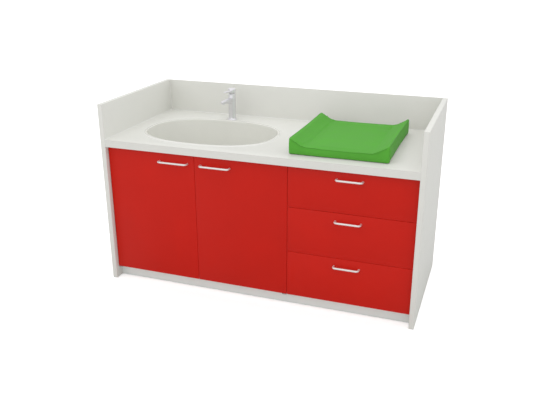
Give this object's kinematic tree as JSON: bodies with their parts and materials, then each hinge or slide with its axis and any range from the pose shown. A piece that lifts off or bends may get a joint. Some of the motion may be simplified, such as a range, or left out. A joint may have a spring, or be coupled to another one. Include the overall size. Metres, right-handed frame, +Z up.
{
  "type": "changing table with basin",
  "caption": "Nursery changing table: laminated cabinet with doors, drawers, guard edge, inset oval bathing basin, mixer tap and a lift-off changing pad.",
  "frame": {"origin": "on the floor under the middle of the whole object's box", "axes": "+Z up, the doors and drawers face -Y, the basin is on the -X side"},
  "size_m": [1.7, 0.767, 1],
  "materials": {
    "white_laminate": "white laminate, satin",
    "red_laminate": "red laminate, satin",
    "birch": "clear lacquer",
    "satin_nickel": "satin nickel",
    "zinc_steel": "bright zinc plate",
    "chrome": "polished",
    "basin_gloss": "glossy sanitary acrylic",
    "white_plastic": "moulded",
    "pad_cover": "coated green cover, matt"
  },
  "bodies": {
    "root": {"left_side_panel": "white_laminate", "right_side_panel": "white_laminate", "back_panel": "white_laminate", "worktop": "white_laminate", "floor_board": "white_laminate", "divider_panel": "white_laminate", "plinth_board": "white_laminate", "rear_plinth": "white_laminate", "worktop_battens": "birch", "basin_bowl": "basin_gloss", "waste_flange": "chrome", "waste_backnut": "white_plastic", "bottle_trap": "white_plastic", "trap_cup": "white_plastic", "waste_pipe": "white_plastic", "tap_body": "chrome", "tap_aerator": "chrome", "tap_fixing_nut": "zinc_steel", "tap_inlet_tails": "chrome", "left_door_pivots": "zinc_steel", "right_door_pivots": "zinc_steel", "door_catches": "white_plastic", "upper_cabinet_rails": "zinc_steel", "middle_cabinet_rails": "zinc_steel", "lower_cabinet_rails": "zinc_steel"},
    "waste_plug": {"waste_plug": "chrome"},
    "tap_cartridge": {"tap_cartridge": "chrome"},
    "tap_lever": {"tap_lever": "chrome"},
    "left_door": {"left_door": "red_laminate", "left_door_handle": "satin_nickel", "left_door_bushes": "zinc_steel", "left_catch_plate": "zinc_steel"},
    "right_door": {"right_door": "red_laminate", "right_door_handle": "satin_nickel", "right_door_bushes": "zinc_steel", "right_catch_plate": "zinc_steel"},
    "upper_drawer": {"upper_drawer_front": "red_laminate", "upper_drawer_handle": "satin_nickel", "upper_drawer_box": "birch", "upper_drawer_rails": "zinc_steel"},
    "upper_slide_member": {"upper_middle_rails": "zinc_steel"},
    "middle_drawer": {"middle_drawer_front": "red_laminate", "middle_drawer_handle": "satin_nickel", "middle_drawer_box": "birch", "middle_drawer_rails": "zinc_steel"},
    "middle_slide_member": {"middle_middle_rails": "zinc_steel"},
    "lower_drawer": {"lower_drawer_front": "red_laminate", "lower_drawer_handle": "satin_nickel", "lower_drawer_box": "birch", "lower_drawer_rails": "zinc_steel"},
    "lower_slide_member": {"lower_middle_rails": "zinc_steel"},
    "changing_pad": {"changing_pad": "pad_cover"}
  },
  "joints": [
    {"name": "left_door_hinge", "type": "hinge", "parent": "root", "child": "left_door", "pos_m": [-0.809, -0.3455, 0.4], "axis": [0, 0, -1], "range_deg": [0, 95]},
    {"name": "right_door_hinge", "type": "hinge", "parent": "root", "child": "right_door", "pos_m": [0.17, -0.3455, 0.4], "axis": [0, 0, 1], "range_deg": [0, 85]},
    {"name": "upper_drawer_slide", "type": "slide", "parent": "root", "child": "upper_drawer", "axis": [0, -1, 0], "range_m": [0, 0.55]},
    {"name": "upper_slide_travel", "type": "slide", "parent": "root", "child": "upper_slide_member", "axis": [0, -1, 0], "range_m": [0, 0.275]},
    {"name": "middle_drawer_slide", "type": "slide", "parent": "root", "child": "middle_drawer", "axis": [0, -1, 0], "range_m": [0, 0.55]},
    {"name": "middle_slide_travel", "type": "slide", "parent": "root", "child": "middle_slide_member", "axis": [0, -1, 0], "range_m": [0, 0.275]},
    {"name": "lower_drawer_slide", "type": "slide", "parent": "root", "child": "lower_drawer", "axis": [0, -1, 0], "range_m": [0, 0.55]},
    {"name": "lower_slide_travel", "type": "slide", "parent": "root", "child": "lower_slide_member", "axis": [0, -1, 0], "range_m": [0, 0.275]},
    {"name": "tap_swivel", "type": "hinge", "parent": "root", "child": "tap_cartridge", "pos_m": [-0.365, 0.2665, 0.971], "axis": [0, 0, 1], "range_deg": [-45, 45]},
    {"name": "tap_lift", "type": "hinge", "parent": "tap_cartridge", "child": "tap_lever", "pos_m": [-0.365, 0.2665, 0.971], "axis": [-1, 0, 0], "range_deg": [0, 18]},
    {"name": "plug_travel", "type": "slide", "parent": "root", "child": "waste_plug", "axis": [0, 0, 1], "range_m": [0, 0.009]},
    {"name": "pad_lift_off", "type": "slide", "parent": "root", "child": "changing_pad", "axis": [0, 0, 1], "range_m": [0, 0.3]}
  ],
  "couplings": [
    {"joint": "upper_slide_travel", "follows": "upper_drawer_slide", "ratio": 0.5},
    {"joint": "middle_slide_travel", "follows": "middle_drawer_slide", "ratio": 0.5},
    {"joint": "lower_slide_travel", "follows": "lower_drawer_slide", "ratio": 0.5}
  ]
}
